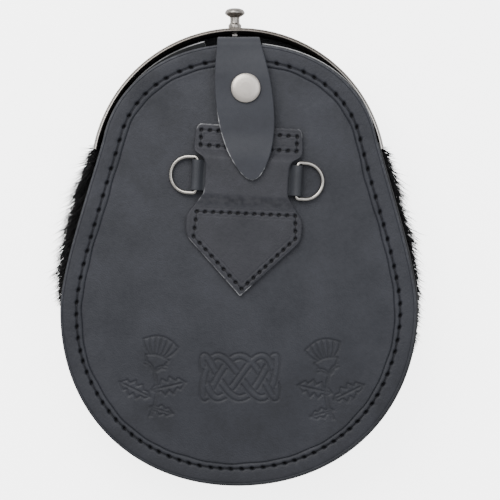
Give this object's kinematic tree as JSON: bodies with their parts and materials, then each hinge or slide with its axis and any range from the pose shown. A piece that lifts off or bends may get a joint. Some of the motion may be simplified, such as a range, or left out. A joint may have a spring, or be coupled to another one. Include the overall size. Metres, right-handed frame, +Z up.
{
  "type": "sporran pouch",
  "caption": "Egg-shaped leather pouch with a fur front, metal cantle and knob, snap tongue, belt patch and D rings, lying on its front.",
  "frame": {"origin": "middle of the footprint, on the surface that the fur front lies on", "axes": "+X to the right over the leather back, +Y from the pouch's bottom to its mouth and knob, +Z up out of the leather back"},
  "size_m": [0.188, 0.243, 0.0461],
  "materials": {
    "black_leather": "semi-matt grained black leather",
    "tongue_leather": "satin black leather",
    "black_fur": "glossy black hair on hide",
    "antique_steel": "darkened antique polish",
    "nickel": "brushed nickel"
  },
  "bodies": {
    "pouch": {"cantle": "antique_steel", "knob": "antique_steel", "knob_nut": "nickel", "front_panel": "black_leather", "fur_front": "black_fur", "gusset": "black_leather", "mouth_facing": "black_leather", "back_panel": "black_leather", "closure_tongue": "tongue_leather", "snap_cap": "nickel", "snap_stud": "nickel", "strap_patch": "black_leather", "ring_strap": "black_leather"},
    "left_ring": {"ring_left": "nickel"},
    "right_ring": {"ring_right": "nickel"}
  },
  "joints": [
    {"name": "ring_left_swing", "type": "hinge", "parent": "pouch", "child": "left_ring", "pos_m": [-0.02074, 0.03546, 0.04112], "axis": [0.0575, 0.9981, -0.023], "range_deg": [0, 130]},
    {"name": "ring_right_swing", "type": "hinge", "parent": "pouch", "child": "right_ring", "pos_m": [0.02928, 0.03257, 0.041], "axis": [-0.0575, -0.9981, 0.024], "range_deg": [0, 130]}
  ]
}
